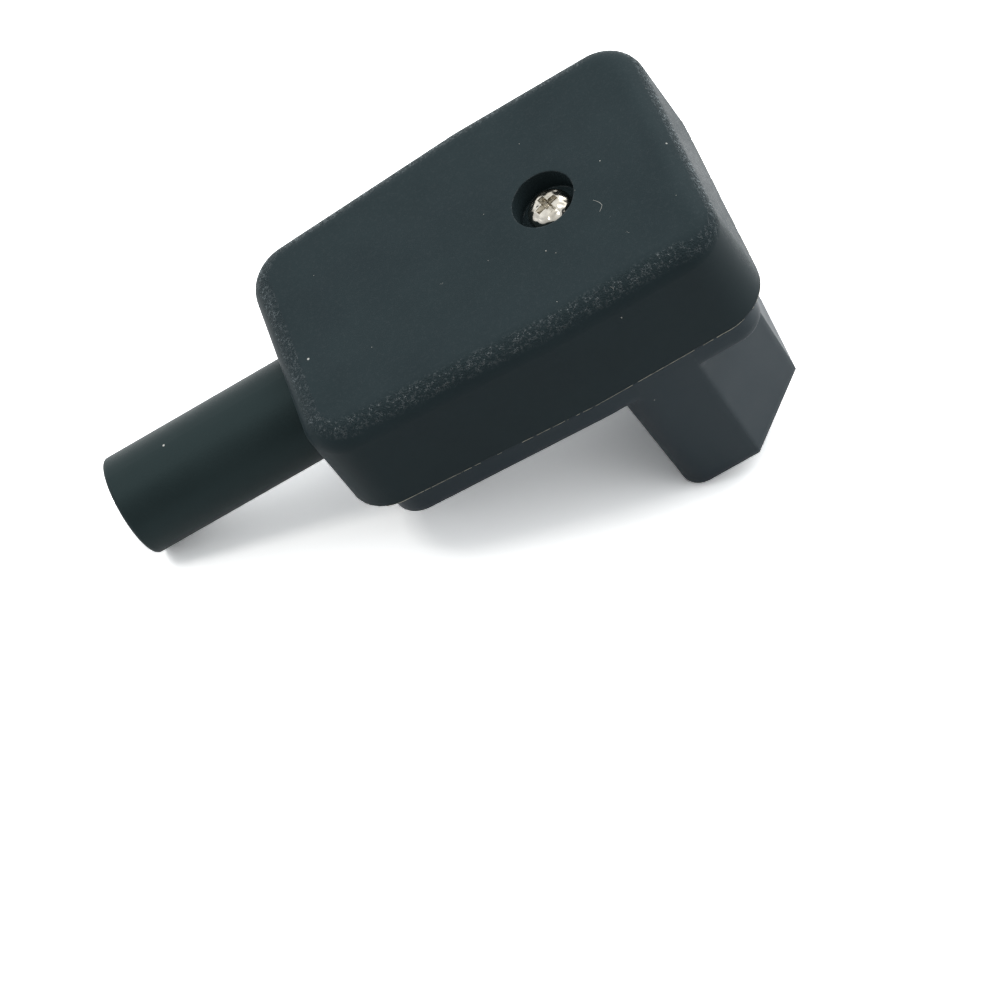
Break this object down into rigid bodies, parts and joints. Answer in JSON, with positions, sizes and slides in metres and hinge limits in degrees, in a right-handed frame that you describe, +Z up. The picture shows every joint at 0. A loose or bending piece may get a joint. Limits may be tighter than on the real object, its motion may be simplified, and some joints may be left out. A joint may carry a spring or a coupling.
{
  "type": "c13 power connector",
  "caption": "Right-angle rewirable power connector: tapered black housing with a rubber cable sleeve, a sunk cover screw and a chamfered nose with pin slots.",
  "frame": {"origin": "centre of the bounding box in plan, on the surface that the connector rests on", "axes": "+X horizontal, away from the cable sleeve, +Y across the connector, +Z up; the connector leans as it lies at rest on a table, on the nose's lower edge and the sleeve's tip"},
  "size_m": [0.0692, 0.0298, 0.0381],
  "materials": {
    "cover_plastic": "fine spark-eroded texture, black",
    "base_plastic": "smooth moulded, black",
    "sleeve_rubber": "smooth, black",
    "contact_brass": "bright stamped",
    "nickel_plate": "bright nickel"
  },
  "bodies": {
    "root": {"cover": "cover_plastic", "base": "base_plastic", "line_contact": "contact_brass", "line_nut": "contact_brass", "line_washer": "nickel_plate", "line_screw": "nickel_plate", "neutral_contact": "contact_brass", "neutral_nut": "contact_brass", "neutral_washer": "nickel_plate", "neutral_screw": "nickel_plate", "earth_contact": "contact_brass", "earth_nut": "contact_brass", "earth_washer": "nickel_plate", "earth_screw": "nickel_plate", "cover_screw": "nickel_plate", "cover_insert": "contact_brass", "cable_guard": "sleeve_rubber", "cord_clamp": "base_plastic", "cord_clamp_screw_left": "nickel_plate", "cord_clamp_screw_right": "nickel_plate"}
  },
  "joints": []
}
